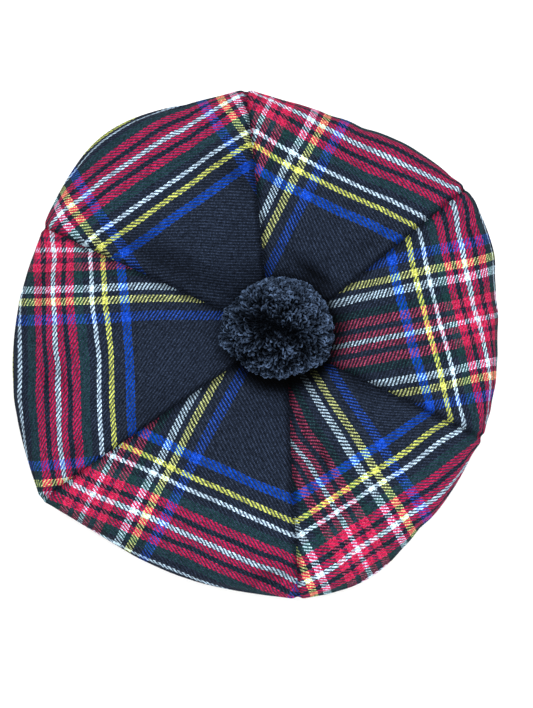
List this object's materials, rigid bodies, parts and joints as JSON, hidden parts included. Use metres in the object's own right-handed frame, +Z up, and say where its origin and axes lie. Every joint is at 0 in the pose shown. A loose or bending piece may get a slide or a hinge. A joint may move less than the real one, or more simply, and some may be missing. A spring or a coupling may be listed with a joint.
{
  "type": "tam o' shanter",
  "caption": "Soft round cap: a wide, flat crown of tartan cloth gores that overhangs a headband, with a yarn toorie on top.",
  "frame": {"origin": "under the middle of the crown's outline, on the surface that the headband stands on", "axes": "+Z up through the crown; +Y towards the top of the picture and +X to its right, seen from above"},
  "size_m": [0.2726, 0.2864, 0.0841],
  "materials": {
    "tartan": "wool twill in a black-ground tartan with red, green, white, yellow and blue stripes",
    "band": null,
    "yarn": "short cut ends of blue-black wool yarn"
  },
  "bodies": {
    "root": {"gore_1": "tartan", "gore_2": "tartan", "gore_3": "tartan", "gore_4": "tartan", "gore_5": "tartan", "gore_6": "tartan", "headband": "band", "toorie": "yarn"}
  },
  "joints": []
}
